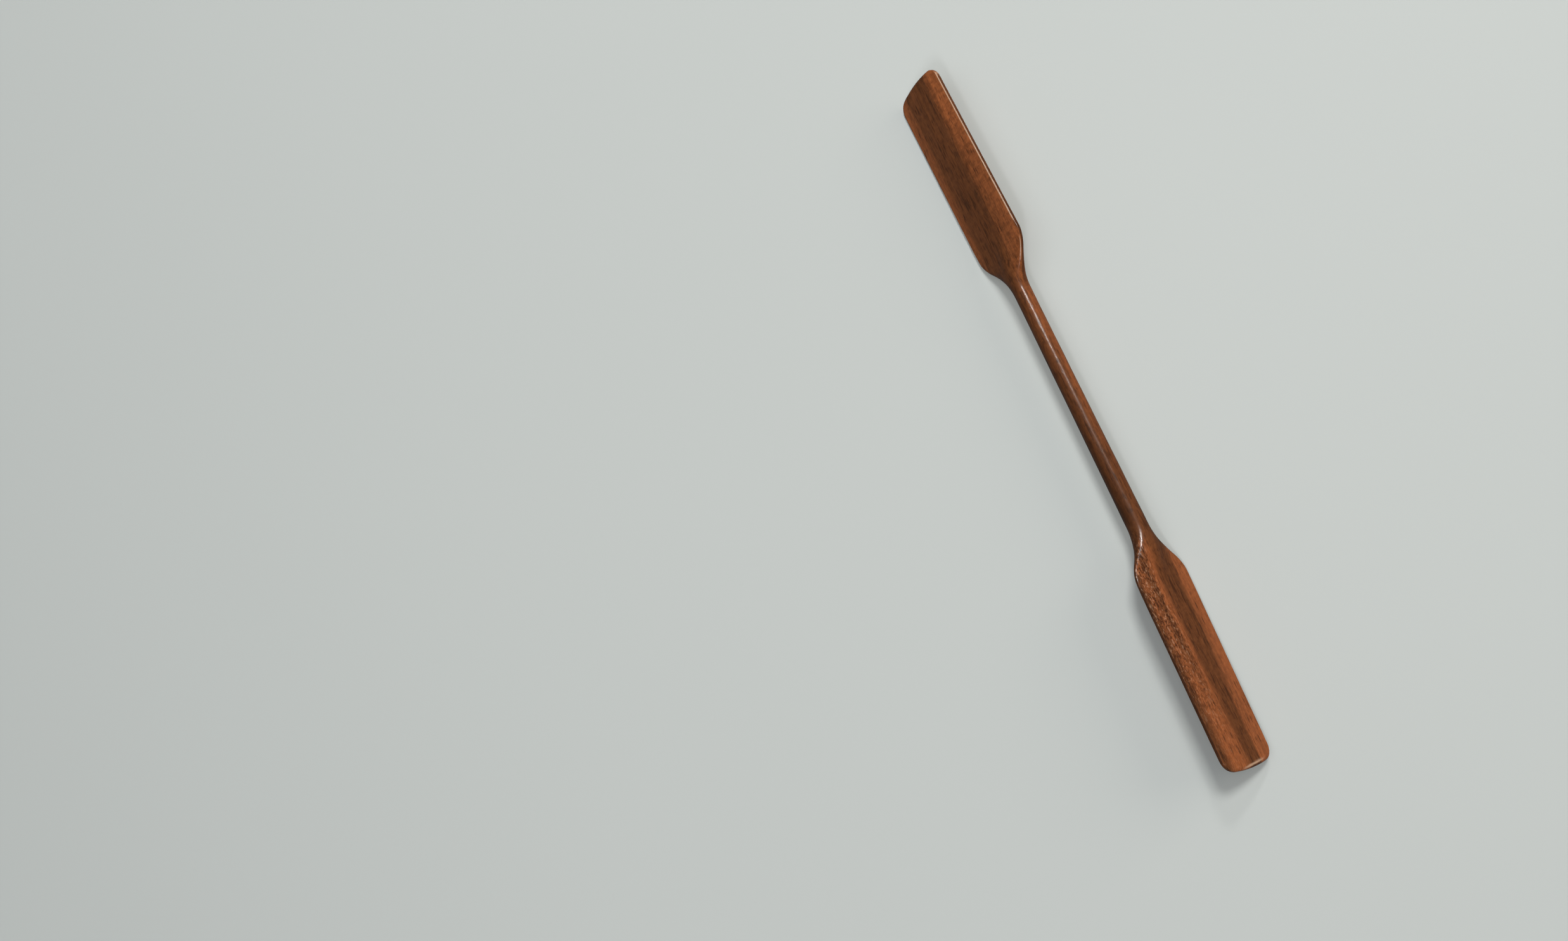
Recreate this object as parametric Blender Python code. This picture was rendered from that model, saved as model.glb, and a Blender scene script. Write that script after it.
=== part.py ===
"""Carved wooden kayak paddle of a one-to-ten desk model.

The paddle lies on its two lowest blade edges, shaft along X, floor at z = 0.
One long piece of wood is the round shaft and, squared and thinned, the spine
that runs to both tips. A cheek glued to each side of a spine makes a blade.
The two blades stand square to each other, as on a feathered racing paddle.

In a blade's own frame x runs from the middle of the shaft to the tip, y across
the blade (positive on the full edge, negative on the tapered edge) and z is
square to its face.
"""

import math
from collections import namedtuple

import bmesh
import bpy
from mathutils import Vector

MM = 0.001

# Whole paddle
LENGTH = 220.0 * MM
TIP = LENGTH / 2
GLUE_GAP = 0.3 * MM          # between a spine and its cheeks

# Shaft, a little fuller at the lower end
UPPER_RADIUS = 2.72 * MM
LOWER_RADIUS = 3.02 * MM
SHAFT_SIDES = 32
NECK_START = 33.0 * MM       # where the round shaft begins to turn square
NECK_SQUARE = 39.4 * MM      # where it is square and the cheeks begin
NECK_SIDE = 1.25 * MM        # half height of the glued side at that place
NECK_CROWN = 0.97            # crown height there, as a share of the radius

# The two edges of a blade. From the shaft's side an edge runs out in a straight
# shoulder, which a hollow curve leads into and a rounded corner leads out of.
#   side      +1 or -1, along the blade's y
#   width     from the shaft's axis to the edge at the shoulder's corner
#   start     where the line of the shoulder leaves the shaft's side
#   fillet    how far the hollow curve reaches to each side of start
#   end       where the line of the shoulder meets the edge
#   rounding  how far the corner's curve reaches to each side of end
#   drift     how fast the edge then spreads, or comes in (-), towards the tip
#   brow      rounding of the edge's section on the shoulder
Edge = namedtuple("Edge", "side width start fillet end rounding drift brow")
FULL = Edge(1, 10.25 * MM, 42.2 * MM, 5.4 * MM, 49.8 * MM, 3.1 * MM, 0.020, 1.3 * MM)
TAPERED = Edge(-1, 9.9 * MM, 40.9 * MM, 2.7 * MM, 51.6 * MM, 3.1 * MM, -0.037, 0.5 * MM)

# Tip, bowed and so slanted that it reaches farthest on the tapered side
TIP_CORNER = 3.4 * MM        # radius of both corners
TIP_BOW = 0.0125 / MM        # how fast the tip falls back on each side of the bow
BOW_MIDDLE = -2.0 * MM       # where across the blade the tip reaches farthest
TIP_ROUNDING = 1.0 * MM      # length over which the tip is rounded off
TIP_FLAT = 0.25              # share of the height left at the very tip

# Blade thickness, as half heights above the blade's middle plane
SPINE_HALF = 1.0 * MM        # the spine's two flat faces, from the shoulders to the tip
FLAT_FROM = 60.0 * MM        # where the neck has faded into those flats
SHOULDER_EDGE_HALF = 1.0 * MM
EDGE_HALF = 0.60 * MM
EDGE_RADIUS = 0.25 * MM      # rounding of the blade's edges
THIN_FROM = 57.0 * MM        # where the edge has become that thin
LEAST_FLAT = 0.15            # share of an edge's half height that is never rounded

FACE_STEPS = 5               # facets across each cheek's face
ARC_STEPS = 4                # facets in each edge rounding and in the tip's
CORNER_STEPS = 6             # stations in the rounding of the tip's corners
NECK_STEPS = 5               # stations while the shaft turns square
SHOULDER_STEPS = 9           # stations while the blade widens
PLATE_STEPS = 6              # stations along the rest of the blade
SHOULDER_MARGIN = 0.4 * MM   # how far past the shoulders their close stations go on
SHARP_ANGLE = math.radians(40.0)
MIN_CHEEK = 0.2 * MM         # width of a cheek where it begins on the neck
ROUNDING_SHARE = 0.85        # most of a narrow cheek that its rounding may take

WOODS = {
    "core_wood": (0.120, 0.040, 0.022),
    "figured_cheek_wood": (0.200, 0.070, 0.030),
    "warm_cheek_wood": (0.270, 0.085, 0.028),
}
VARNISH_ROUGHNESS = 0.32


def smoothstep(value, start, end):
    """Rise from 0 at start to 1 at end, level at both."""
    t = min(max((value - start) / (end - start), 0.0), 1.0)
    return t * t * (3.0 - 2.0 * t)


def mix(a, b, share):
    return a + (b - a) * share


def bend(x, corner, reach):
    """0 before a corner, rising with slope 1 after it, curved over reach to each side."""
    into = min(max(x - corner + reach, 0.0), 2 * reach)
    return into**2 / (4 * reach) + max(x - corner - reach, 0.0)


def corner_loss(x):
    """How much the rounded corners at the tip take off the width at x."""
    inside = min(max(TIP - x, 0.0), TIP_CORNER)
    return TIP_CORNER - math.sqrt(TIP_CORNER**2 - (TIP_CORNER - inside) ** 2)


def outline(x, edge, radius):
    """Distance from the axis to an edge of the blade."""
    slope = (edge.width - radius) / (edge.end - edge.start)
    spread = bend(x, edge.end, edge.rounding)
    shoulder = slope * (bend(x, edge.start, edge.fillet) - spread)
    return radius + shoulder + edge.drift * spread - corner_loss(x)


def side_height(x):
    """Half height of the glued side of the spine."""
    return mix(NECK_SIDE, SPINE_HALF, smoothstep(x, NECK_SQUARE, FLAT_FROM))


def crown_height(x, radius):
    """Half height of the spine on its centre line."""
    return mix(NECK_CROWN * radius, SPINE_HALF, smoothstep(x, NECK_SQUARE, FLAT_FROM))


def tip_share(x):
    """Share of the height that the rounding of the tip leaves at x."""
    into = min(max((x - TIP + TIP_ROUNDING) / TIP_ROUNDING, 0.0), 1.0)
    return mix(TIP_FLAT, 1.0, math.sqrt(1.0 - into**2))


def bowed(x, y):
    """Shift a point along the blade so that the tip's edge is slanted and bowed."""
    return x - TIP_BOW * (y - BOW_MIDDLE) ** 2 * smoothstep(x, FLAT_FROM, TIP)


def rounding_stations(depth, steps):
    """Places that divide a rounding of that depth at the tip into equal turns."""
    turns = (math.pi / 2 * step / steps for step in range(steps + 1))
    return [TIP - depth * (1.0 - math.sin(turn)) for turn in turns]


def stations():
    """Places along a blade, from the neck to the tip."""
    plate_start = TAPERED.end + TAPERED.rounding + SHOULDER_MARGIN
    shoulder = [mix(NECK_SQUARE, plate_start, step / SHOULDER_STEPS) for step in range(SHOULDER_STEPS)]
    plate = [mix(plate_start, TIP - TIP_CORNER, step / PLATE_STEPS) for step in range(PLATE_STEPS)]
    rounding = rounding_stations(TIP_ROUNDING, ARC_STEPS)
    corner = [x for x in rounding_stations(TIP_CORNER, CORNER_STEPS) if x < rounding[0]]
    return shoulder + plate + corner + rounding


def spine_ring(x, radius, squared):
    """Ring of the shaft's wood at x: round at squared = 0, a spine at squared = 1."""
    side = side_height(x) * tip_share(x)
    crown = crown_height(x, radius) * tip_share(x)
    ring = []
    for index in range(SHAFT_SIDES):
        angle = math.tau * index / SHAFT_SIDES
        round_y, round_z = radius * math.cos(angle), radius * math.sin(angle)
        if index * 8 // SHAFT_SIDES in (1, 2, 5, 6):
            across = math.cos(angle) / math.cos(math.pi / 4)
            square_y = radius * across
            square_z = math.copysign(side + (crown - side) * (1.0 - across**2), round_z)
        else:
            square_y = math.copysign(radius, round_y)
            square_z = side * math.sin(angle) / math.sin(math.pi / 4)
        y = mix(round_y, square_y, squared)
        ring.append((bowed(x, y), y, mix(round_z, square_z, squared)))
    return ring


def half_shaft(radius):
    """Rings from the start of the neck to the tip, in the blade's frame."""
    neck = [mix(NECK_START, NECK_SQUARE, step / NECK_STEPS) for step in range(NECK_STEPS)]
    rings = [spine_ring(x, radius, smoothstep(x, NECK_START, NECK_SQUARE)) for x in neck]
    return rings + [spine_ring(x, radius, 1.0) for x in stations()]


def cheek_ring(x, edge, radius):
    """Section of a cheek at x, from its glued side round its outer edge."""
    inner = radius + GLUE_GAP
    outer = max(outline(x, edge, radius), inner + MIN_CHEEK)
    thinned = smoothstep(x, NECK_SQUARE, THIN_FROM)
    reach = min(mix(edge.brow, EDGE_RADIUS, thinned), ROUNDING_SHARE * (outer - inner))
    high = side_height(x)
    brow = mix(SHOULDER_EDGE_HALF, EDGE_HALF, thinned)
    flat = max(brow - reach, LEAST_FLAT * brow)
    upper = []
    for step in range(FACE_STEPS):
        share = step / FACE_STEPS
        upper.append((mix(inner, outer - reach, share), mix(high, brow, share)))
    for step in range(ARC_STEPS + 1):
        angle = math.radians(90.0) * step / ARC_STEPS
        upper.append((outer - reach + reach * math.sin(angle), mix(flat, brow, math.cos(angle))))
    upper = [(edge.side * y, z * tip_share(x)) for y, z in upper]
    lower = [(y, -z) for y, z in reversed(upper)]
    return [(bowed(x, y), y, z) for y, z in upper + lower]


def towards(end, rings):
    """Point a blade's rings along +X for the upper end (+1) or -X for the lower."""
    return [[(end * x, y, z) for x, y, z in ring] for ring in rings]


def turned(ring, tilt):
    """Turn a ring about the shaft's axis."""
    cosine, sine = math.cos(tilt), math.sin(tilt)
    return [(x, y * cosine - z * sine, y * sine + z * cosine) for x, y, z in ring]


def shaft_rings(upper_tilt, lower_tilt):
    """Rings of the whole core, lower tip to upper tip.

    The blades stand a quarter turn apart, so the lower half's rings start a
    quarter of the way round and the round shaft runs straight between them.
    """
    quarter = SHAFT_SIDES // 4
    lower = [turned(ring, lower_tilt) for ring in towards(-1, half_shaft(LOWER_RADIUS))]
    lower = [ring[-quarter:] + ring[:-quarter] for ring in reversed(lower)]
    upper = [turned(ring, upper_tilt) for ring in half_shaft(UPPER_RADIUS)]
    return lower + upper


def closed_loft(name, rings, wood):
    """A closed body through the rings, capped at both ends."""
    shape = bmesh.new()
    loops = [[shape.verts.new(point) for point in ring] for ring in rings]
    count = len(loops[0])
    for first, second in zip(loops, loops[1:]):
        for index in range(count):
            after = (index + 1) % count
            shape.faces.new((first[index], first[after], second[after], second[index]))
    shape.faces.new(loops[0])
    shape.faces.new(loops[-1])
    bmesh.ops.recalc_face_normals(shape, faces=shape.faces)
    mesh = bpy.data.meshes.new(name)
    shape.to_mesh(mesh)
    shape.free()
    mesh.shade_smooth()
    mesh.set_sharp_from_angle(angle=SHARP_ANGLE)
    mesh.materials.append(wood)
    piece = bpy.data.objects.new(name, mesh)
    bpy.context.collection.objects.link(piece)
    return piece


def make_wood(name, colour):
    """Varnished wood in one even colour."""
    material = bpy.data.materials.new(name)
    material.use_nodes = True
    shader = material.node_tree.nodes["Principled BSDF"]
    shader.inputs["Base Color"].default_value = (*colour, 1.0)
    shader.inputs["Roughness"].default_value = VARNISH_ROUGHNESS
    shader.inputs["Metallic"].default_value = 0.0
    return material


def blade_tilts():
    """Angles of the two blades about the shaft, both lowest edges equally low.

    The upper blade rests on its full edge and the lower one on its tapered edge,
    a quarter turn apart.
    """
    full = max(outline(x, FULL, UPPER_RADIUS) for x in stations()) - EDGE_HALF
    tapered = max(outline(x, TAPERED, LOWER_RADIUS) for x in stations()) - EDGE_HALF
    upper = -math.atan2(tapered, full)
    return upper, upper + math.radians(90.0)


def rest_on_floor(paddle, pieces):
    """Bring the bottom centre of the paddle's bounding box to the origin."""
    bpy.context.view_layer.update()
    corners = [
        piece.matrix_world @ vertex.co for piece in pieces for vertex in piece.data.vertices
    ]
    low = Vector(map(min, zip(*corners)))
    high = Vector(map(max, zip(*corners)))
    middle = (low + high) / 2
    paddle.location = (-middle.x, -middle.y, -low.z)


def build():
    for old in list(bpy.data.objects):
        bpy.data.objects.remove(old)
    woods = {name: make_wood(name, colour) for name, colour in WOODS.items()}
    paddle = bpy.data.objects.new("paddle", None)
    bpy.context.collection.objects.link(paddle)
    upper_tilt, lower_tilt = blade_tilts()

    core = closed_loft("shaft_core", shaft_rings(upper_tilt, lower_tilt), woods["core_wood"])
    pieces = [core]
    blades = (("upper", 1, UPPER_RADIUS, upper_tilt), ("lower", -1, LOWER_RADIUS, lower_tilt))
    edges = (("full", FULL, "figured_cheek_wood"), ("tapered", TAPERED, "warm_cheek_wood"))
    for blade, end, radius, tilt in blades:
        for edge_name, edge, wood in edges:
            rings = towards(end, [cheek_ring(x, edge, radius) for x in stations()])
            cheek = closed_loft(f"{blade}_blade_{edge_name}_cheek", rings, woods[wood])
            cheek.rotation_euler.x = tilt
            pieces.append(cheek)
    for piece in pieces:
        piece.parent = paddle
    rest_on_floor(paddle, pieces)


build()
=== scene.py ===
"""Looks of the carved wooden model paddle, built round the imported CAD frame."""

import math
from collections import namedtuple
from functools import lru_cache

import bmesh
import bpy
import numpy as np
from mathutils import Matrix, Vector, noise


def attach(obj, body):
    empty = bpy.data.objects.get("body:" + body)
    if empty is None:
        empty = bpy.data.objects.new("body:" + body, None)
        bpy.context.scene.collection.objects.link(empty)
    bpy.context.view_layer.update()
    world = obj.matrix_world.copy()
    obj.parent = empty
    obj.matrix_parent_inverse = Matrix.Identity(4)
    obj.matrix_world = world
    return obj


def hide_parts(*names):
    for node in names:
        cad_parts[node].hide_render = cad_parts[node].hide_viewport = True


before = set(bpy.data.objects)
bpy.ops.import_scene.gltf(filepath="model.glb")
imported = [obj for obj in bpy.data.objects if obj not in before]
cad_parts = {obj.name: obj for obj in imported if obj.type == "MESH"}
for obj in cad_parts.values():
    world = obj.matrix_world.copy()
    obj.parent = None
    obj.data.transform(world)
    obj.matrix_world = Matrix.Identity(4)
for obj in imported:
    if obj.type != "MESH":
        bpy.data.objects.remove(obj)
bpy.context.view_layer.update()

MM = 0.001

# Driving sizes, the same as the CAD model's; places are distances from the middle
LENGTH = 220.0 * MM
UPPER_RADIUS = 2.72 * MM        # the shaft where the upper blade's neck starts
LOWER_RADIUS = 3.02 * MM        # the shaft where the lower blade's neck starts
NECK_START = 33.0 * MM
NECK_SQUARE = 39.4 * MM         # where the CAD model's neck has turned square
NECK_SIDE = 1.25 * MM           # half thickness of the neck's sides
SPINE_HALF = 1.0 * MM           # half thickness of the blades along their spines
FLAT_FROM = 60.0 * MM           # where the blades' faces have become flat
SHOULDER_EDGE_HALF = 1.0 * MM   # half thickness of the edges at the shoulders
EDGE_HALF = 0.60 * MM           # and along the blades
EDGE_RADIUS = 0.25 * MM         # rounding of the edges' corners
THIN_FROM = 57.0 * MM           # where the edges have thinned
LEAST_FLAT = 0.15               # share of an edge's half thickness that stays flat
TIP_CORNER = 3.4 * MM           # radius of the tip's corners
TIP_BOW = 0.0125 / MM           # how fast the tip falls back from its foremost point
BOW_MIDDLE = -2.0 * MM          # where that point is across the blade
TIP_ROUNDING = 1.0 * MM         # length over which the tip's edge is rounded

# One side of the blades: its shoulder runs from start to end, with a bend of half length
# fillet and one of half length rounding; drift is how fast the straight edge opens
Edge = namedtuple("Edge", "side width start fillet end rounding drift brow")
FULL = Edge(1, 10.25 * MM, 42.2 * MM, 5.4 * MM, 49.8 * MM, 3.1 * MM, 0.020, 1.3 * MM)
TAPERED = Edge(-1, 9.9 * MM, 40.9 * MM, 2.7 * MM, 51.6 * MM, 3.1 * MM, -0.037, 0.5 * MM)

# Finer shape that only the visible wood has
SKIN = 0.012 * MM               # the visible wood sits this far inside the CAD solids
TIP = LENGTH / 2 - SKIN
GLUE_LINE = 0.02 * MM           # half width of the hairline between two glued pieces
ROUND_UNTIL = 42.0 * MM         # where the round neck starts to take the blade's section
BLADE_FROM = 54.0 * MM          # and where it has it
RIDGE_TO = 57.0 * MM            # where the neck's ridge has sunk into the blade's face
BROW_SOFTNESS = 2.1             # rounding of the shoulders' brows against the CAD model's
CARVING = 0.06 * MM             # depth of the unevenness left by knife and paper
MOST_CARVED = 0.3               # greatest share of the half thickness that it takes
BLADE_CARVING = Vector((1 / (7 * MM), 1 / (2.5 * MM), 1 / (2.5 * MM)))
SHAFT_CARVING = Vector((1 / (9 * MM), 1 / (2.2 * MM), 1 / (2.2 * MM)))
WHITTLED_FADE = 3 * MM          # half length over which the shaft's unevenness ends
THINNEST = 0.004 * MM
MERGE = 0.0005 * MM             # points closer than this become one
SHARP_ANGLE = math.radians(40.0)
CORE_QUARTER = 24               # points in a quarter turn of the core's rings
CHEEK_POINTS = 40               # points across each face of a cheek
TIP_RINGS = 9                   # rings on the tip's rounding
FINE_STEP = 0.35 * MM           # between rings on necks, shoulders and tips
COARSE_STEP = 1.0 * MM          # between rings elsewhere

FLOOR_SIZE = 20.0
CAMERA_PLACE = Vector((-0.0642, -0.0201, 0.4468))
CAMERA_FORWARD = Vector((0.1874, 0.2313, -0.9547))
CAMERA_UP = Vector((0.8972, -0.4360, 0.0705))
LENS_MM = 35.0


# ---------------------------------------------------------------- shape

def smoothstep(value, start, end):
    """0 before start, 1 after end and smooth between, either way round."""
    t = np.clip((np.asarray(value) - start) / (end - start), 0.0, 1.0)
    return t * t * (3.0 - 2.0 * t)


def mix(a, b, share):
    """From a to b as share goes from 0 to 1."""
    return a + (b - a) * share


def bend(x, corner, reach):
    """0 before a corner, rising with slope 1 after it, curved over reach to each side."""
    into = np.clip(x - corner + reach, 0.0, 2 * reach)
    return into**2 / (4 * reach) + np.maximum(x - corner - reach, 0.0)


def corner_loss(x, radius):
    """How much a rounded corner at the tip takes off a width at x."""
    inside = np.clip(TIP - x, 0.0, radius)
    return radius - np.sqrt(radius**2 - (radius - inside) ** 2)


def shaft_radius(x, end_radius):
    """Radius of the round wood, from the middle of the shaft out to a blade."""
    middle = (UPPER_RADIUS + LOWER_RADIUS) / 2
    return mix(middle, end_radius, np.clip(x / NECK_START, 0.0, 1.0))


def outline(x, edge, end_radius):
    """Distance from the axis to an edge of the blade, or to the side of the shaft."""
    slope = (edge.width - end_radius) / (edge.end - edge.start)
    spread = bend(x, edge.end, edge.rounding)
    shoulder = slope * (bend(x, edge.start, edge.fillet) - spread)
    width = shaft_radius(x, end_radius) + shoulder + edge.drift * spread
    return width - corner_loss(x, TIP_CORNER) - SKIN


def half_height(x, y, end_radius):
    """Half thickness of the wood at x, a signed distance y from the axis."""
    radius = shaft_radius(x, end_radius) - SKIN
    out = np.abs(y)
    width = np.where(y > 0, outline(x, FULL, end_radius), outline(x, TAPERED, end_radius))
    crown = mix(radius, SPINE_HALF - SKIN, smoothstep(x, NECK_SQUARE, RIDGE_TO))
    side = mix(NECK_SIDE, SPINE_HALF, smoothstep(x, NECK_SQUARE, FLAT_FROM)) - SKIN
    oval = crown * np.sqrt(1.0 - np.clip(out / width, 0.0, 1.0) ** 2)

    thinned = smoothstep(x, NECK_SQUARE, THIN_FROM)
    brow = mix(SHOULDER_EDGE_HALF, EDGE_HALF, thinned) - SKIN
    soft_brow = BROW_SOFTNESS * np.where(y > 0, FULL.brow, TAPERED.brow)
    rounding = mix(soft_brow, EDGE_RADIUS, thinned)
    rounding = np.minimum(rounding, 0.5 * np.maximum(width - radius, 0.0) + THINNEST)
    flat = np.maximum(brow - rounding, LEAST_FLAT * brow)
    run = np.maximum(width - rounding - radius, THINNEST)
    dome = np.maximum(crown - side, 0.0) * (1.0 - np.clip(out / radius, 0.0, 1.0) ** 2) ** 2
    face = mix(side, brow, np.clip((out - radius) / run, 0.0, 1.0)) + dome
    turn = np.clip((out - (width - rounding)) / rounding, 0.0, 1.0)
    face = np.where(turn > 0.0, mix(flat, brow, np.sqrt(1.0 - turn**2)), face)

    end = np.clip((x - (TIP - TIP_ROUNDING)) / TIP_ROUNDING, 0.0, 1.0)
    section = mix(oval, face, smoothstep(x, ROUND_UNTIL, BLADE_FROM))
    return np.maximum(section * np.sqrt(1.0 - end**2), THINNEST)


def bowed(x, y):
    """Shift a point along the blade so that the tip's edge is slanted and bowed."""
    return x - TIP_BOW * (y - BOW_MIDDLE) ** 2 * smoothstep(x, FLAT_FROM, TIP)


def stations(start):
    """Places of the rings from start to the tip, close together where the shape turns."""
    places = [start]
    while places[-1] < TIP - TIP_ROUNDING:
        x = places[-1]
        turning = NECK_START < x < FLAT_FROM or x > TIP - TIP_CORNER
        places.append(x + (FINE_STEP if turning else COARSE_STEP))
    places[-1] = TIP - TIP_ROUNDING
    turns = np.linspace(0.0, math.pi / 2, TIP_RINGS + 1)[1:]
    return places + [TIP - TIP_ROUNDING * (1.0 - math.sin(turn)) for turn in turns]


@lru_cache
def cheek_start(edge, end_radius):
    """Where on the neck the outline first stands clear of the core."""
    x = NECK_START
    while outline(x, edge, end_radius) < end_radius + 4 * GLUE_LINE:
        x += GLUE_LINE
    return x


def core_ring(x, end_radius):
    """Ring of the core at x, round or cut off flat at the glue lines."""
    turns = np.arange(4 * CORE_QUARTER) * (math.pi / 2 / CORE_QUARTER)
    reach = np.empty(len(turns))
    for edge, there in ((FULL, np.cos(turns) > 0), (TAPERED, np.cos(turns) <= 0)):
        glued = x >= cheek_start(edge, end_radius)
        reach[there] = end_radius - GLUE_LINE if glued else outline(x, edge, end_radius)
    y = reach * np.cos(turns)
    z = half_height(x, y, end_radius) * np.sign(np.round(np.sin(turns), 6))
    return np.column_stack((bowed(x, y), y, z))


def cheek_ring(x, edge, end_radius):
    """Ring of a cheek at x: out over the upper face, down the edge and back below."""
    glue = end_radius + GLUE_LINE
    outer = max(float(outline(x, edge, end_radius)), glue + GLUE_LINE)
    share = np.sin(np.linspace(0.0, math.pi / 2, CHEEK_POINTS))
    y = edge.side * mix(glue, outer, share)
    top = np.column_stack((bowed(x, y), y, half_height(x, y, end_radius)))
    return np.vstack((top, top[::-1] * (1, 1, -1)))


def carved(ring, end):
    """Take the slight unevenness of hand carving off a ring's upper and lower faces."""
    for point in ring:
        spot = Vector((end * point[0], point[1], math.copysign(SPINE_HALF, point[2])))
        rough = 0.5 + 0.5 * noise.noise(spot * BLADE_CARVING)
        depth = CARVING * rough * smoothstep(point[0], NECK_START, BLADE_FROM)
        point[2] -= math.copysign(min(depth, MOST_CARVED * abs(point[2])), point[2])
    return ring


def whittled(ring):
    """Take the same unevenness off the round shaft, all round it."""
    for point in ring:
        rough = 0.5 + 0.5 * noise.noise(Vector(point) * SHAFT_CARVING)
        near, far = NECK_START - WHITTLED_FADE, NECK_START + WHITTLED_FADE
        fade = 1.0 - smoothstep(abs(point[0]), near, far)
        point[1:] *= 1.0 - CARVING * rough * fade / UPPER_RADIUS
    return ring


def turned(ring, tilt):
    """Turn a ring about the shaft's axis."""
    return ring @ np.array(Matrix.Rotation(tilt, 3, "X")).T


# ---------------------------------------------------------------- figure of the wood

# Warm wood across a blade: (mm from the axis, mm inside the warm wood)
UPPER_ROOT = ((-7, 0.3), (-3.6, -0.1), (-1.6, -1), (0, -1.5), (7, -1), (8.4, 0.1), (10, 0.4))
UPPER_TIP = (
    (-7, 1.3), (-5.4, 1.2), (-3.6, 0.4), (-1.6, -0.8),
    (7, -0.8), (8.4, 0.1), (10, 0.4),
)
LOWER_ROOT = (
    (-6, 1), (-3.3, -1.6), (-2, -0.9), (0.8, -1),
    (3.2, 0.9), (5.4, -0.7), (8.3, 0.7), (10, -1),
)
LOWER_TIP = ((-2.7, 0.9), (-1.8, -1.2), (2.4, -0.5), (4, 0.8), (5.6, 1.3), (8, 0.8), (10, -1))

# Warm wood on the shaft, in mm inside it: in its middle, painted light that makes the lit side
# warmer and lighter, and more for each metre towards the upper blade
SHAFT_WARMTH = -1.2
PAINTED_LIGHT_ON_LIT_SIDE = 1.3
UPWARD_WARMTH = 22.0
BLADE_FIGURE_FROM = 46.0 * MM   # where the blades' figure has replaced the shaft's

# Ripples and specks, from 0 to 1, and (from, to) in mm across a blade where they set in
PLAIN_CURL = 0.4
LOWER_CURL = 0.5
FULL_CURL = 1.0
CURL_BELT = (0.5, 4.0)
SPECKLE_BELT = (2.0, 5.0)
TIP_SPECKLE = 0.2

# Painted highlights, with some real wear in the line along the edge: (from, to, fade) in mm
# along the blade or in from its tip, then in from its edge or across it
EDGE_WEAR_AND_HIGHLIGHT_PLACE = ((57.5, 106.5, 2.0), (0.18, 0.3, 0.2))
SHOULDER_HIGHLIGHT_PLACE = ((47.0, 50.0, 2.0), (0.3, 0.35, 0.2))
TIP_HIGHLIGHT_PLACE = ((0.9, 1.1, 0.35), (-1.0, 2.5, 3.5))
# Strengths of the painted highlights on the shoulder and at the lower tip
SHOULDER_HIGHLIGHT_STRENGTH = 0.5
TIP_HIGHLIGHT_STRENGTH = 0.7
PAINTED_SHADE_BAND = (0.14, 0.02)              # mm in from the edge where the painted shade on its side starts and is full
FIGURE_LAYERS = ("warm", "curl", "speckle", "wear_and_highlight", "painted_shade_rim")


def across_blade(y, profile):
    """Read a profile at y."""
    return np.interp(y / MM, *zip(*profile))


def band(value, start, stop, fade):
    """1 from start to stop, fading to 0 over fade on both sides."""
    return smoothstep(value, start - fade, start) * smoothstep(value, stop + fade, stop)


def painted_highlights_and_wear(x, y, end, from_edge):
    """How pale the wood is painted, from 0 to 1: wear and a painted highlight along one edge,
    a painted highlight on the shoulder of the upper blade and one at the tip of the lower one;
    all distances are in mm."""
    # The lower blade gets a painted highlight on its tip's rounding
    if end < 0:
        in_from_tip, across = TIP_HIGHLIGHT_PLACE
        return TIP_HIGHLIGHT_STRENGTH * band(TIP / MM - x, *in_from_tip) * band(y, *across)
    # Along the edge: wear with a painted highlight on the arris; on the shoulder: a painted
    # highlight
    edge, shoulder = (
        band(x, *along) * band(from_edge, *inward)
        for along, inward in (EDGE_WEAR_AND_HIGHLIGHT_PLACE, SHOULDER_HIGHLIGHT_PLACE)
    )
    return np.where(y < 0, np.maximum(edge, SHOULDER_HIGHLIGHT_STRENGTH * shoulder), 0.0)


def wood_of(ring, end, tilt):
    """What the wood shows at each point of a ring, one column for each figure layer.

    warm is mm inside the border of the warm wood, and on the shaft also holds painted light on
    its lit side; curl, speckle, worn and rim go from 0 to 1, for rippled wood, specked wood,
    wear with painted highlights, and painted shade on the sides of the edges.
    """
    x, y, z = ring.T
    down = smoothstep(x, FLAT_FROM, TIP)
    if end > 0:
        warm = mix(across_blade(y, UPPER_ROOT), across_blade(y, UPPER_TIP), down)
        curl = mix(PLAIN_CURL, FULL_CURL, smoothstep(-y / MM, *CURL_BELT))
        speckle = np.zeros_like(y)
    else:
        warm = mix(across_blade(y, LOWER_ROOT), across_blade(y, LOWER_TIP), down)
        curl = LOWER_CURL
        speckle = mix(1.0, TIP_SPECKLE, down) * smoothstep(y / MM, *SPECKLE_BELT)
    # Painted light: the side of the shaft that faces the lamps is painted warmer and lighter
    lit_side = (z * math.sin(tilt) - y * math.cos(tilt)) / UPPER_RADIUS
    shaft_tone_and_painted_light = PAINTED_LIGHT_ON_LIT_SIDE * lit_side + SHAFT_WARMTH + UPWARD_WARMTH * end * x
    blade = smoothstep(x, NECK_START, BLADE_FIGURE_FROM)
    width = np.where(y > 0, outline(x, FULL, UPPER_RADIUS), outline(x, TAPERED, UPPER_RADIUS))
    from_edge = (width - np.abs(y)) / MM
    return np.column_stack((
        mix(shaft_tone_and_painted_light, warm, blade),
        mix(PLAIN_CURL, curl, blade),
        speckle * blade,
        # wear and painted highlights
        painted_highlights_and_wear(x / MM, y / MM, end, from_edge),
        # painted shade on the sides of the edges
        blade * smoothstep(from_edge, *PAINTED_SHADE_BAND),
    ))


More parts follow.
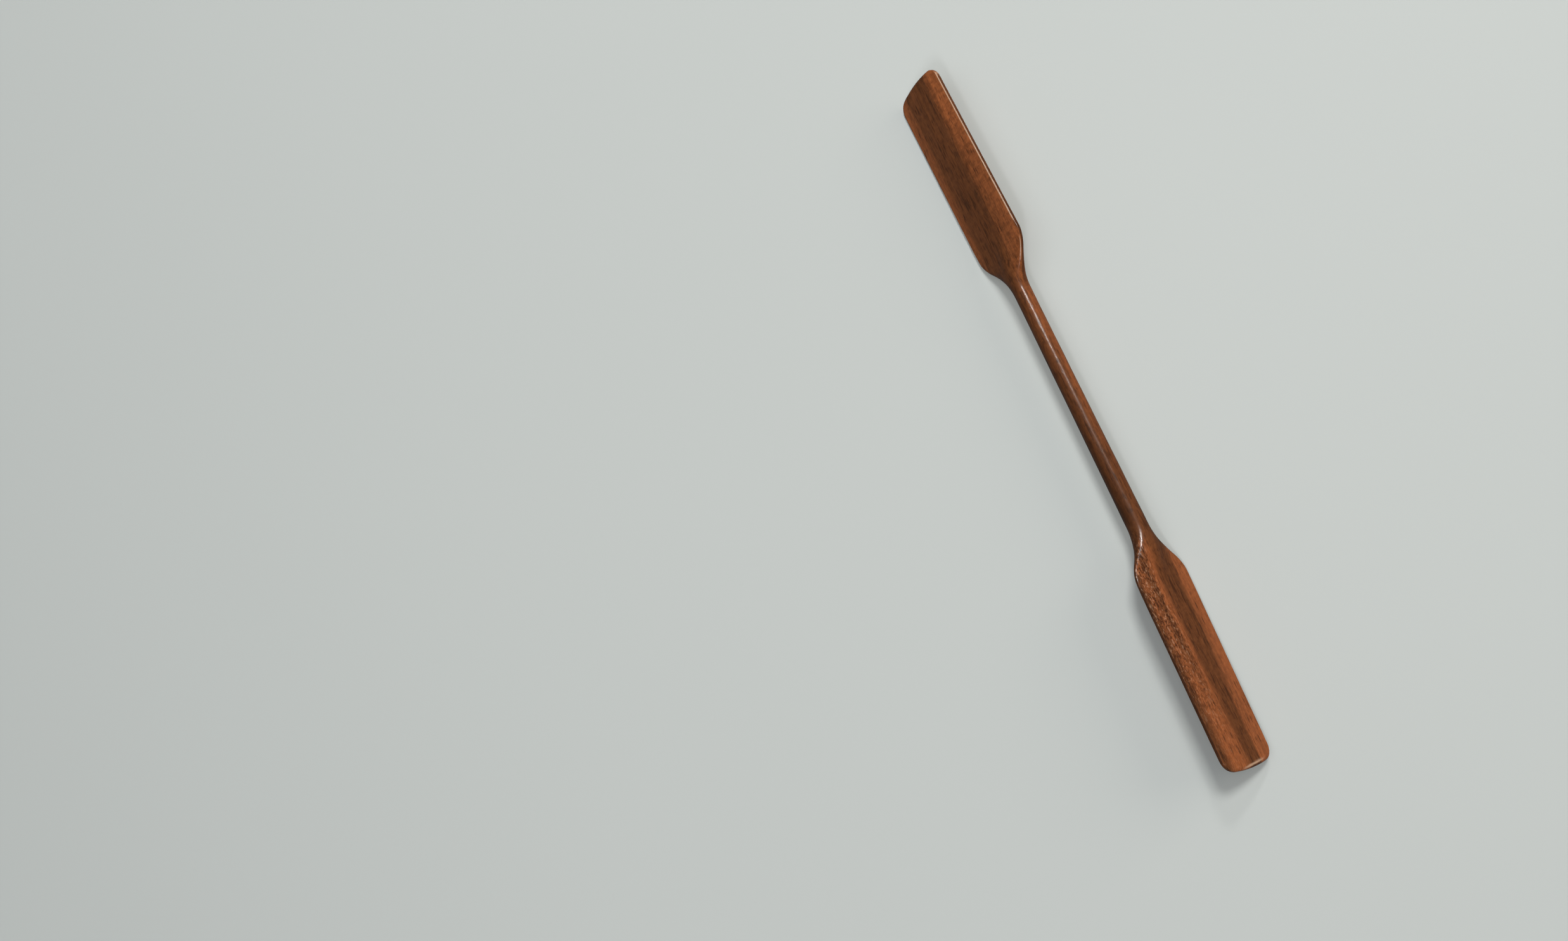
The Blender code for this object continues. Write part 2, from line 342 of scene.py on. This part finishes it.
def closed_loft(name, rings, figure, material):
    """A closed skin through the rings, smooth but for its sharp corners.

    figure holds each point's figure layers.
    """
    count = len(rings[0])
    points = np.vstack(rings)
    faces = []
    for start in range(0, len(points) - count, count):
        for index in range(count):
            after = (index + 1) % count
            below, beside = start + index, start + after
            faces.append((below, beside, beside + count, below + count))
    faces.append(tuple(range(count)))
    faces.append(tuple(range(len(points) - count, len(points))))
    mesh = bpy.data.meshes.new(name)
    mesh.from_pydata(points.tolist(), [], faces)
    for column, attribute in enumerate(FIGURE_LAYERS):
        layer = mesh.attributes.new(attribute, "FLOAT", "POINT")
        layer.data.foreach_set("value", figure[:, column].astype(np.float32))
    shape = bmesh.new()
    shape.from_mesh(mesh)
    bmesh.ops.remove_doubles(shape, verts=shape.verts, dist=MERGE)
    bmesh.ops.recalc_face_normals(shape, faces=shape.faces)
    shape.to_mesh(mesh)
    shape.free()
    mesh.shade_smooth()
    mesh.set_sharp_from_angle(angle=SHARP_ANGLE)
    mesh.materials.append(material)
    piece = bpy.data.objects.new(name, mesh)
    bpy.context.scene.collection.objects.link(piece)
    return piece


def stand_for(piece, node):
    """Show this piece in place of a CAD node of the one rigid body."""
    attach(piece, "root")
    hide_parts(node)


def make_core(axis_place, tilts, material):
    """The shaft and both spines in one piece, lower tip to upper tip."""
    halves, figures = {}, {}
    for end, end_radius in ((1, UPPER_RADIUS), (-1, LOWER_RADIUS)):
        rings = [core_ring(x, end_radius) for x in stations(0.0)]
        figures[end] = [wood_of(ring, end, tilts[end]) for ring in rings]
        rings = [carved(ring, end) * (end, 1, 1) for ring in rings]
        halves[end] = [whittled(turned(ring, tilts[end])) for ring in rings]
    for half in (halves, figures):
        half[-1] = [np.roll(ring, CORE_QUARTER, axis=0) for ring in half[-1]]
    rings = halves[-1][:0:-1] + halves[1]
    figure = np.vstack(figures[-1][:0:-1] + figures[1])
    core = closed_loft("carved_core", rings, figure, material)
    core.location = axis_place
    stand_for(core, "shaft_core")


def make_cheek(blade, end, end_radius, edge_name, edge, axis_place, tilt, material):
    """One glued cheek, made in its blade's own frame."""
    rings = [cheek_ring(x, edge, end_radius) for x in stations(cheek_start(edge, end_radius))]
    figure = np.vstack([wood_of(ring, end, tilt) for ring in rings])
    rings = [turned(carved(ring, end) * (end, 1, 1), tilt) for ring in rings]
    cheek = closed_loft(f"carved_{blade}_{edge_name}_cheek", rings, figure, material)
    cheek.location = axis_place
    stand_for(cheek, f"{blade}_blade_{edge_name}_cheek")


# ---------------------------------------------------------------- materials

DARK_WOOD = (0.152, 0.050, 0.015)
WARM_WOOD = (0.345, 0.103, 0.031)
# Pale colour of flecks and wear, also painted on as highlights on an edge, a shoulder and a tip
PALE_WOOD_AND_PAINTED_HIGHLIGHT = (0.80, 0.52, 0.34)
# Dark colour of pores and veins, also painted on as shade along the sides of the edges
PORE_AND_PAINTED_SHADE_WOOD = tuple(0.30 * part for part in DARK_WOOD)
BORDER_WANDER = 1.2             # mm by which the border between the woods strays
RELIEF_STRENGTH = 0.6
RELIEF_DEPTH = 0.05 * MM
VARNISH_SINK = 0.5              # share of the wood's relief that shows in the varnish
FLOOR_PAINT = ((0.62, 0.67, 0.665), (0.64, 0.69, 0.685))
BACKGROUND = (0.80, 0.84, 0.83, 1.0)
BACKGROUND_LIGHT = 0.08         # strength of the background as a light
BACKGROUND_SEEN = 0.09          # and how much more the camera sees of it


def add(tree, kind, inputs=None, **settings):
    """Add a node, set its properties and link or set its inputs."""
    node = tree.nodes.new(kind)
    for key, value in settings.items():
        setattr(node, key, value)
    for key, value in (inputs or {}).items():
        if isinstance(value, bpy.types.NodeSocket):
            tree.links.new(value, node.inputs[key])
        else:
            node.inputs[key].default_value = value
    return node


def stretched(tree, source, along, across, shift):
    """Coordinates in which one unit is along by across by across metres."""
    return add(tree, "ShaderNodeMapping", {
        "Vector": source,
        "Location": (shift, shift * 0.7, shift * 1.3),
        "Scale": (1 / along, 1 / across, 1 / across),
    }).outputs["Vector"]


def grain(tree, source, along, across, shift, detail=3.0, distortion=0.0):
    """Noise drawn out along the grain, from 0 to 1."""
    return add(tree, "ShaderNodeTexNoise", {
        "Vector": stretched(tree, source, along, across, shift),
        "Scale": 1.0,
        "Detail": detail,
        "Distortion": distortion,
    }).outputs["Fac"]


def ramp(tree, factor, *stops):
    """Colour ramp with stops (position, grey or colour)."""
    node = add(tree, "ShaderNodeValToRGB", {"Fac": factor})
    elements = node.color_ramp.elements
    while len(elements) < len(stops):
        elements.new(0.5)
    for element, (position, colour) in zip(elements, stops):
        element.position = position
        element.color = (*(colour if isinstance(colour, tuple) else 3 * (colour,)), 1.0)
    return node.outputs["Color"]


def arithmetic(tree, operation, first, second, third=0.0):
    """Result of a sum on sockets or numbers."""
    inputs = {0: first, 1: second, 2: third}
    return add(tree, "ShaderNodeMath", inputs, operation=operation).outputs[0]


def times(tree, first, second):
    """Product of two sockets or numbers."""
    return arithmetic(tree, "MULTIPLY", first, second)


def blended(tree, factor, first, second, mode="MIX"):
    """Mix two colours by a factor."""
    node = tree.nodes.new("ShaderNodeMix")
    node.data_type = "RGBA"
    node.blend_type = mode
    for index, value in ((0, factor), (6, first), (7, second)):
        if isinstance(value, bpy.types.NodeSocket):
            tree.links.new(value, node.inputs[index])
        elif isinstance(value, tuple):
            node.inputs[index].default_value = (*value, 1.0)
        else:
            node.inputs[index].default_value = value
    return node.outputs[2]


def pores(tree, spot, along, across, shift, kept):
    """Dark dashes along the grain: 1 in the middle of a pore, 0 outside."""
    cells = add(tree, "ShaderNodeTexVoronoi", {
        "Vector": stretched(tree, spot, along, across, shift),
        "Scale": 1.0,
        "Randomness": 1.0,
    })
    dash = ramp(tree, cells.outputs["Distance"], (0.0, 1.0), (0.16, 1.0), (0.30, 0.0))
    chance = add(tree, "ShaderNodeSeparateColor", {"Color": cells.outputs["Color"]}).outputs["Red"]
    present = arithmetic(tree, "LESS_THAN", chance, kept)
    return times(tree, dash, present)


def scaled(tree, tone, factor, *stops):
    """A tone times a grey that follows the factor."""
    return blended(tree, 1.0, tone, ramp(tree, factor, *stops), "MULTIPLY")


def wood_patterns(tree, spot, speckle, shift):
    """The patterns that the wood's colour and relief are made of."""
    speck = grain(tree, spot, 1.2 * MM, 0.55 * MM, shift + 31.0, detail=2.0, distortion=0.7)
    long_pore = pores(tree, spot, 5.0 * MM, 0.85 * MM, shift + 5.0, 0.40)
    short_pore = pores(tree, spot, 2.1 * MM, 0.36 * MM, shift + 9.0, 0.30)
    return {
        "border": grain(tree, spot, 14 * MM, 1.6 * MM, shift + 3.0),
        "streak": grain(tree, spot, 26 * MM, 1.1 * MM, shift, detail=4.0),
        "vein": grain(tree, spot, 4.5 * MM, 0.65 * MM, shift + 11.0, distortion=0.5),
        "fibre": grain(tree, spot, 1.8 * MM, 0.20 * MM, shift + 21.0, detail=2.0),
        "ripple": grain(
            tree, spot, 1.1 * MM, 1.8 * MM, shift + 51.0, detail=2.0, distortion=0.4,
        ),
        "film": grain(tree, spot, 1.8 * MM, 0.9 * MM, shift + 41.0),
        "speck": times(tree, ramp(tree, speck, (0.52, 0.0), (0.60, 1.0)), speckle),
        "fleck": times(tree, ramp(tree, speck, (0.34, 1.0), (0.42, 0.0)), speckle),
        "pore": arithmetic(tree, "MAXIMUM", long_pore, short_pore),
    }


def wood_tone(tree, pattern, layer):
    """Colour of the wood: dark and warm parts, streaks, ripples, specks, pores, wear, painted
    highlights and painted shade.
    """
    wander = arithmetic(tree, "MULTIPLY_ADD", pattern["border"], BORDER_WANDER, layer["warm"])
    across_border = arithmetic(tree, "MULTIPLY_ADD", wander, 0.3, 0.3)
    warmth = ramp(tree, across_border, (0.25, 0.0), (0.75, 1.0))
    depth = arithmetic(tree, "MULTIPLY_ADD", wander, 0.25, 0.85)
    tone = blended(tree, warmth, DARK_WOOD, WARM_WOOD)
    tone = scaled(tree, tone, depth, (0.2, 0.40), (0.75, 1.0))
    tone = scaled(tree, tone, pattern["streak"], (0.3, 0.82), (0.7, 1.18))
    tone = scaled(tree, tone, pattern["fibre"], (0.3, 0.80), (0.7, 1.18))

    veins = ramp(tree, pattern["vein"], (0.52, 0.0), (0.66, 0.70))
    veins = times(tree, veins, arithmetic(tree, "SUBTRACT", 1.0, warmth))
    tone = blended(tree, veins, tone, PORE_AND_PAINTED_SHADE_WOOD)
    rippled = scaled(tree, tone, pattern["ripple"], (0.34, 0.78), (0.64, 1.20))
    tone = blended(tree, layer["curl"], tone, rippled)
    # The last two overlays are wear with painted highlights, and painted shade on the edges' sides
    overlays = (
        (pattern["speck"], 0.85, PORE_AND_PAINTED_SHADE_WOOD),
        (pattern["fleck"], 0.25, PALE_WOOD_AND_PAINTED_HIGHLIGHT),
        (pattern["pore"], 0.62, PORE_AND_PAINTED_SHADE_WOOD),
        (layer["wear_and_highlight"], 0.90, PALE_WOOD_AND_PAINTED_HIGHLIGHT),
        (layer["painted_shade_rim"], 0.70, PORE_AND_PAINTED_SHADE_WOOD),
    )
    for place, share, colour in overlays:
        tone = blended(tree, times(tree, place, share), tone, colour)
    return tone


def wood_relief(tree, pattern, layer):
    """Height of the wood in shares of the relief's depth; pores and specks are dents."""
    relief = times(tree, pattern["pore"], -0.8)
    ripples = times(tree, pattern["ripple"], layer["curl"])
    for height, share in ((pattern["fibre"], 0.25), (pattern["speck"], -0.9), (ripples, 0.8)):
        relief = arithmetic(tree, "MULTIPLY_ADD", height, share, relief)
    return relief


def bumped(tree, height):
    """Normal of a surface with this relief."""
    return add(tree, "ShaderNodeBump", {
        "Strength": RELIEF_STRENGTH,
        "Distance": RELIEF_DEPTH,
        "Height": height,
    }).outputs["Normal"]


def make_wood(name, shift):
    """Varnished dark hardwood; shift moves the patterns to another part of the board."""
    material = bpy.data.materials.new(name)
    material.use_nodes = True
    tree = material.node_tree
    tree.nodes.clear()
    spot = add(tree, "ShaderNodeTexCoord").outputs["Object"]
    layer = {
        kind: add(tree, "ShaderNodeAttribute", attribute_name=kind).outputs["Fac"]
        for kind in FIGURE_LAYERS
    }
    pattern = wood_patterns(tree, spot, layer["speckle"], shift)
    relief = wood_relief(tree, pattern, layer)
    varnish = arithmetic(tree, "MULTIPLY_ADD", relief, VARNISH_SINK, pattern["film"])
    shader = add(tree, "ShaderNodeBsdfPrincipled", {
        "Base Color": wood_tone(tree, pattern, layer),
        "Roughness": ramp(tree, pattern["streak"], (0.2, 0.38), (0.8, 0.50)),
        "Normal": bumped(tree, relief),
        "Coat Normal": bumped(tree, varnish),
        "Specular IOR Level": 0.12,
        "Coat Weight": 1.0,
        "Coat Roughness": 0.20,
        "Coat IOR": 1.5,
    })
    output = add(tree, "ShaderNodeOutputMaterial")
    tree.links.new(shader.outputs["BSDF"], output.inputs["Surface"])
    return material


def make_floor_paint():
    """Matt pale paint with a faint unevenness."""
    material = bpy.data.materials.new("pale_floor")
    material.use_nodes = True
    tree = material.node_tree
    shader = tree.nodes["Principled BSDF"]
    spot = add(tree, "ShaderNodeTexCoord").outputs["Object"]
    cloud = grain(tree, spot, 0.4, 0.4, 1.0)
    paint = ramp(tree, cloud, *zip((0.2, 0.8), FLOOR_PAINT))
    tree.links.new(paint, shader.inputs["Base Color"])
    shader.inputs["Roughness"].default_value = 0.8
    return material


# ---------------------------------------------------------------- stage

def make_floor():
    """Plain floor that the paddle lies on and that its varnish does not mirror."""
    mesh = bpy.data.meshes.new("floor")
    half = FLOOR_SIZE / 2
    corners = [(-half, -half, 0), (half, -half, 0), (half, half, 0), (-half, half, 0)]
    mesh.from_pydata(corners, [], [(0, 1, 2, 3)])
    mesh.materials.append(make_floor_paint())
    floor = bpy.data.objects.new("floor", mesh)
    floor.visible_glossy = False
    bpy.context.scene.collection.objects.link(floor)


def aimed(place, back, up):
    """Matrix of a lamp or camera at that place, facing away from back."""
    back = Vector(back).normalized()
    right = Vector(up).cross(back).normalized()
    turn = Matrix((right, back.cross(right), back)).transposed().to_4x4()
    return Matrix.Translation(place) @ turn


def make_softbox(name, towards, distance, width, height, power, colour):
    """Rectangular light at that distance from the paddle, facing it."""
    lamp = bpy.data.lights.new(name, "AREA")
    lamp.shape = "RECTANGLE"
    lamp.size = width
    lamp.size_y = height
    lamp.energy = power
    lamp.color = colour
    light = bpy.data.objects.new(name, lamp)
    direction = Vector(towards).normalized()
    light.matrix_world = aimed(direction * distance, direction, (0.0, 1.0, 0.0))
    bpy.context.scene.collection.objects.link(light)
    return light


def make_sky():
    """Even light from above that reaches the floor out to the horizon."""
    lamp = bpy.data.lights.new("sky", "SUN")
    lamp.energy = 0.70
    lamp.angle = math.radians(60.0)
    sky = bpy.data.objects.new("sky", lamp)
    sky.matrix_world = aimed((0.0, 0.0, 2.5), (0.0, 0.15, 0.99), (0.0, 1.0, 0.0))
    bpy.context.scene.collection.objects.link(sky)
    return sky


def make_lights():
    """Panes that shine in the varnish, and soft fills that only light the wood."""
    make_softbox("window", (0.33, -0.30, 0.89), 1.5, 0.26, 0.30, 9.0, (1.0, 0.97, 0.93))
    make_softbox("far_pane", (0.62, -0.33, 0.69), 1.5, 0.14, 0.18, 2.6, (1.0, 0.97, 0.95))
    make_softbox("low_window", (-0.48, 0.16, 0.86), 1.5, 0.40, 0.14, 2.6, (1.0, 0.96, 0.97))
    side = make_softbox("side_fill", (0.1, -0.9, 0.45), 1.8, 1.2, 0.9, 7.5, (1.0, 0.88, 0.76))
    sky = make_sky()
    for soft in (side, sky):
        soft.visible_glossy = False
    world = bpy.data.worlds.new("studio")
    world.use_nodes = True
    tree = world.node_tree
    background = tree.nodes["Background"]
    background.inputs["Color"].default_value = BACKGROUND
    seen = add(tree, "ShaderNodeLightPath").outputs["Is Camera Ray"]
    strength = arithmetic(tree, "MULTIPLY_ADD", seen, BACKGROUND_SEEN, BACKGROUND_LIGHT)
    tree.links.new(strength, background.inputs["Strength"])
    bpy.context.scene.world = world


def make_camera():
    """Looks down on the lying paddle as the photograph looks at the leaning one."""
    data = bpy.data.cameras.new("camera")
    data.lens = LENS_MM
    camera = bpy.data.objects.new("camera", data)
    camera.matrix_world = aimed(CAMERA_PLACE, -CAMERA_FORWARD, CAMERA_UP)
    bpy.context.scene.collection.objects.link(camera)
    bpy.context.scene.camera = camera


# ---------------------------------------------------------------- scene

def blade_tilts():
    """Angles of the two blades about the shaft, both lowest edges equally low."""
    places = np.array(stations(NECK_SQUARE))
    full = outline(places, FULL, UPPER_RADIUS).max() - EDGE_HALF
    tapered = outline(places, TAPERED, LOWER_RADIUS).max() - EDGE_HALF
    upper = -math.atan2(tapered, full)
    return {1: upper, -1: upper + math.pi / 2}


def shaft_axis():
    """A point on the shaft's axis: the middle of the CAD core where it is round."""
    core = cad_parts["shaft_core"]
    round_part = [v.co for v in core.data.vertices if abs(v.co.x) < NECK_START + MM]
    low = Vector(map(min, zip(*round_part)))
    high = Vector(map(max, zip(*round_part)))
    return Vector((0.0, (low.y + high.y) / 2, (low.z + high.z) / 2))


def main():
    """Build the visible paddle, the floor, the lights and the camera."""
    bpy.context.scene.view_settings.view_transform = "Standard"
    tilts = blade_tilts()
    axis_place = shaft_axis()
    make_core(axis_place, tilts, make_wood("core_wood", 0.0))
    edges = (
        ("full", FULL, "figured_cheek_wood", make_wood("figured_cheek_wood", 50.0)),
        ("tapered", TAPERED, "warm_cheek_wood", make_wood("warm_cheek_wood", 90.0)),
    )
    for blade, end, end_radius in (("upper", 1, UPPER_RADIUS), ("lower", -1, LOWER_RADIUS)):
        for edge_name, edge, slot, wood in edges:
            make_cheek(blade, end, end_radius, edge_name, edge, axis_place, tilts[end], wood)
    make_floor()
    make_lights()
    make_camera()


main()
